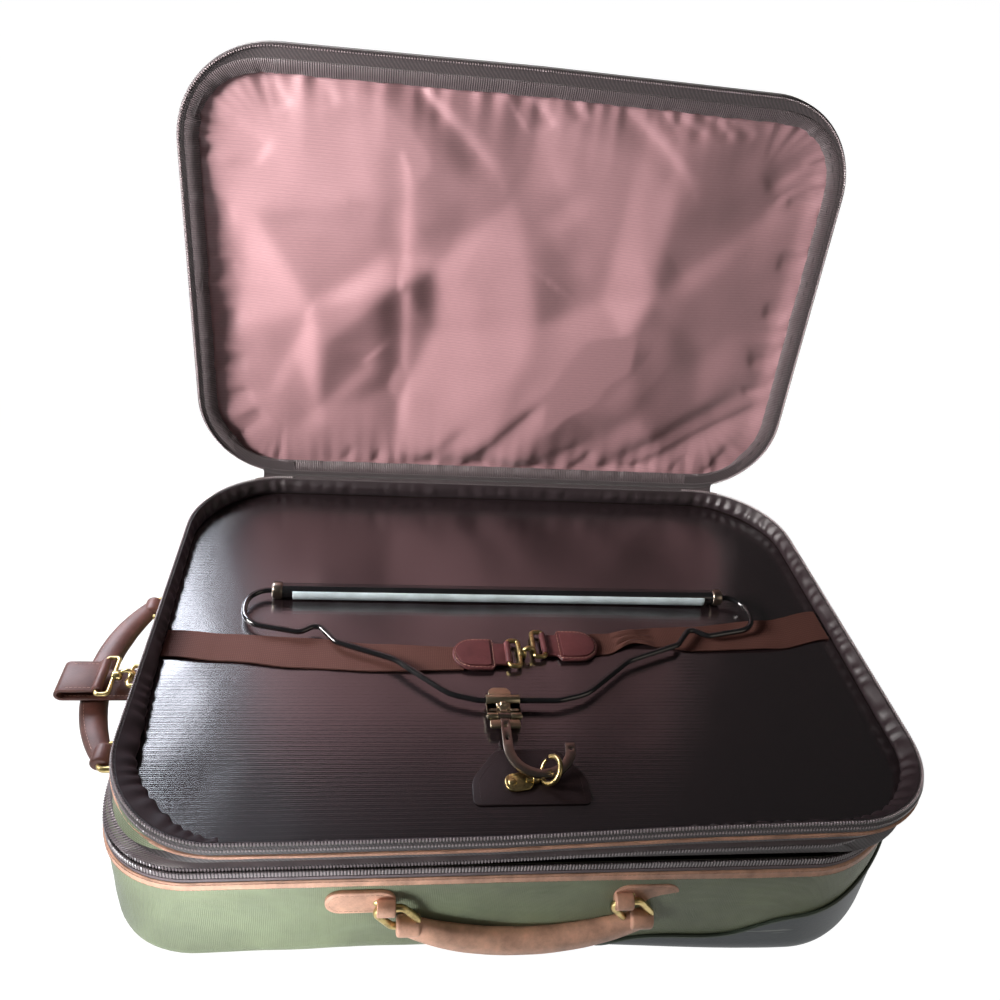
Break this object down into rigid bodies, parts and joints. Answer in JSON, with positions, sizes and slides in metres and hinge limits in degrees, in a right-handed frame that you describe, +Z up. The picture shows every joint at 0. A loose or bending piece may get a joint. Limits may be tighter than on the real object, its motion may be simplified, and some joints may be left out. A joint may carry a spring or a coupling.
{
  "type": "rolling garment bag",
  "caption": "Soft-sided wheeled garment bag lying open: zipped case with trolley handle, hinged tray with a trouser hanger and straps, and a lined lid.",
  "frame": {"origin": "on the floor, at the middle of the flat back of the case", "axes": "+X from the handle end to the wheel end, +Y from the carry-handle side to the hinge side, +Z up out of the open bag"},
  "size_m": [0.6447, 0.4221, 0.5195],
  "materials": {
    "olive_canvas": "woven nylon canvas with a slight sheen",
    "tan_leather": "waxed saddle leather",
    "oxblood_leather": "smooth dark red leather",
    "brown_patch": "dark brown coated fabric",
    "mauve_satin": "ribbed satin nylon",
    "brown_nylon": "finely ribbed nylon",
    "brown_satin": "gathered satin",
    "grosgrain": "ribbed binding tape",
    "zip_tape": "twill zip tape",
    "zip_coil": "nylon zip coil",
    "elastic": "brown elastic with pale edges",
    "antique_brass": "antique plated brass",
    "slate_guard": "scuffed moulded guard",
    "black_plastic": "moulded black plastic",
    "tyre_rubber": "smooth rubber",
    "grey_hub": "moulded grey plastic",
    "steel_pin": "plain steel",
    "tube_metal": "drawn tube",
    "black_vinyl": "vinyl-coated wire",
    "foam_strip": "pale foam strip",
    "nickel": "worn nickel plate"
  },
  "bodies": {
    "case": {"case_shell": "olive_canvas", "case_lining": "brown_nylon", "case_welt": "tan_leather", "case_zip_tape": "zip_tape", "case_zip_teeth": "zip_coil", "case_hinge": "olive_canvas", "corner_guard": "slate_guard", "wheel_housings": "black_plastic", "wheel_axles": "steel_pin", "standing_feet": "black_plastic", "trolley_sleeves": "steel_pin", "trolley_bezel": "black_plastic", "handle_tabs": "tan_leather", "luggage_strap": "oxblood_leather", "luggage_snap": "antique_brass", "strap_dee": "antique_brass"},
    "wheel_front": {"wheel_hub_front": "grey_hub", "wheel_tyre_front": "tyre_rubber"},
    "wheel_rear": {"wheel_hub_rear": "grey_hub", "wheel_tyre_rear": "tyre_rubber"},
    "trolley": {"trolley_tubes": "tube_metal", "trolley_grip": "black_plastic"},
    "release": {"release_button": "black_plastic", "release_rods": "steel_pin"},
    "side_handle": {"side_handle_rings": "antique_brass", "side_handle_grip": "tan_leather"},
    "end_handle": {"end_handle_rings": "antique_brass", "end_handle_grip": "tan_leather"},
    "luggage_gate": {"luggage_snap_gate": "antique_brass"},
    "tray": {"tray_wall": "olive_canvas", "tray_welt": "tan_leather", "tray_zip_tape": "zip_tape", "tray_zip_teeth": "zip_coil", "lid_hinge": "olive_canvas", "divider_panel": "brown_nylon", "tray_gusset_lining": "brown_satin", "elastic_straps": "elastic", "strap_tabs": "oxblood_leather", "strap_clasp": "antique_brass", "hanger_patch": "brown_patch", "patch_snap": "antique_brass", "lid_sliders": "nickel"},
    "patch_gate": {"patch_snap_gate": "antique_brass"},
    "hook": {"hanger_hook": "nickel"},
    "hanger": {"hanger_wire": "black_vinyl", "trouser_bar": "black_vinyl", "trouser_grip_strip": "foam_strip", "bar_ferrules": "nickel", "hanger_clamp": "nickel"},
    "lid": {"lid_panel": "olive_canvas", "lid_zip_tape": "zip_tape", "lid_zip_teeth": "zip_coil", "lid_binding": "grosgrain", "lid_lining": "mauve_satin"},
    "lid_pull_left": {"lid_pull_left": "nickel"},
    "lid_pull_right": {"lid_pull_right": "nickel"},
    "main_slider_front": {"main_slider_front": "nickel"},
    "main_slider_rear": {"main_slider_rear": "nickel"},
    "main_pull_front": {"main_pull_front": "nickel"},
    "main_pull_rear": {"main_pull_rear": "nickel"}
  },
  "joints": [
    {"name": "tray_hinge", "type": "hinge", "parent": "case", "child": "tray", "pos_m": [0, 0.1936, 0.1111], "axis": [1, 0, 0], "range_deg": [-85, 0]},
    {"name": "lid_hinge", "type": "hinge", "parent": "tray", "child": "lid", "pos_m": [0, 0.1936, 0.1331], "axis": [-1, 0, 0], "range_deg": [-90, 85]},
    {"name": "wheel_front_spin", "type": "hinge", "parent": "case", "child": "wheel_front", "pos_m": [0.268, -0.108, 0.0255], "axis": [0, 1, 0], "continuous": true},
    {"name": "wheel_rear_spin", "type": "hinge", "parent": "case", "child": "wheel_rear", "pos_m": [0.268, 0.108, 0.0255], "axis": [0, 1, 0], "continuous": true},
    {"name": "trolley_slide", "type": "slide", "parent": "case", "child": "trolley", "axis": [-1, 0, 0], "range_m": [0, 0.4]},
    {"name": "release_press", "type": "slide", "parent": "trolley", "child": "release", "axis": [1, 0, 0], "range_m": [0, 0.004], "stiffness_N_per_m": 400, "springref_m": -0.004},
    {"name": "side_handle_swing", "type": "hinge", "parent": "case", "child": "side_handle", "pos_m": [-0.014, -0.1985, 0.07], "axis": [-1, 0, 0], "range_deg": [0, 150]},
    {"name": "end_handle_swing", "type": "hinge", "parent": "case", "child": "end_handle", "pos_m": [-0.2865, 0, 0.066], "axis": [0, 1, 0], "range_deg": [-45, 0]},
    {"name": "luggage_gate_swing", "type": "hinge", "parent": "case", "child": "luggage_gate", "pos_m": [-0.30338, -0.02, 0.08188], "axis": [0, -1, 0], "range_deg": [0, 15], "stiffness_Nm_per_rad": 0.02, "springref_deg": -11.46},
    {"name": "patch_gate_swing", "type": "hinge", "parent": "tray", "child": "patch_gate", "pos_m": [0.00333, -0.13546, 0.12042], "axis": [0.8112, 0.114, -0.5736], "range_deg": [0, 15], "stiffness_Nm_per_rad": 0.02, "springref_deg": -11.46},
    {"name": "hook_swing", "type": "hinge", "parent": "tray", "child": "hook", "pos_m": [-0.018, -0.1435, 0.1221], "axis": [1, 0, 0], "range_deg": [0, 28]},
    {"name": "hanger_fold", "type": "hinge", "parent": "hook", "child": "hanger", "pos_m": [-0.018, -0.091, 0.1232], "axis": [1, 0, 0], "range_deg": [0, 60]},
    {"name": "lid_pull_left_swing", "type": "hinge", "parent": "tray", "child": "lid_pull_left", "pos_m": [-0.22808, 0.19427, 0.1275], "axis": [-0.9511, -0.309, 0], "range_deg": [-90, 0]},
    {"name": "lid_pull_right_swing", "type": "hinge", "parent": "tray", "child": "lid_pull_right", "pos_m": [0.22808, 0.19427, 0.1275], "axis": [-0.9511, 0.309, 0], "range_deg": [-90, 0]},
    {"name": "main_slider_front_slide", "type": "slide", "parent": "case", "child": "main_slider_front", "axis": [0, -1, 0], "range_m": [0, 0.095]},
    {"name": "main_pull_front_swing", "type": "hinge", "parent": "main_slider_front", "child": "main_pull_front", "pos_m": [0.2856, -0.008, 0.1111], "axis": [0, -1, 0], "range_deg": [0, 150]},
    {"name": "main_slider_rear_slide", "type": "slide", "parent": "case", "child": "main_slider_rear", "axis": [0, 1, 0], "range_m": [0, 0.095]},
    {"name": "main_pull_rear_swing", "type": "hinge", "parent": "main_slider_rear", "child": "main_pull_rear", "pos_m": [0.2856, 0.008, 0.1111], "axis": [0, -1, 0], "range_deg": [0, 150]}
  ]
}
